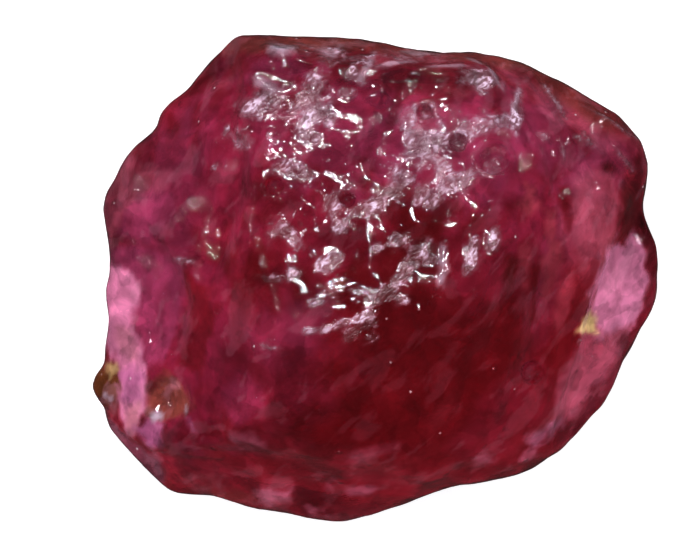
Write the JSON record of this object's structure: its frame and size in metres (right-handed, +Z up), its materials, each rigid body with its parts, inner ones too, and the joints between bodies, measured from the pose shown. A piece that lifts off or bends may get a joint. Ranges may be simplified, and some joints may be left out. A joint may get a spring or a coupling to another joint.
{
  "type": "raw ruby crystal",
  "caption": "Uncut, water-worn ruby crystal, clear deep red with pink thin edges and an etched skin, lying on a flat parting face.",
  "frame": {"origin": "under the middle of the stone's box, on the plane of its flat resting face", "axes": "+Z up out of the crown; +X along the stone's length, away from the iron-stained nub; +Y towards the steep upper edge"},
  "size_m": [0.0122, 0.0104, 0.0054],
  "materials": {
    "ruby": "see-through corundum with a glossy, etched and water-worn natural skin"
  },
  "bodies": {
    "root": {"ruby_crystal": "ruby"}
  },
  "joints": []
}
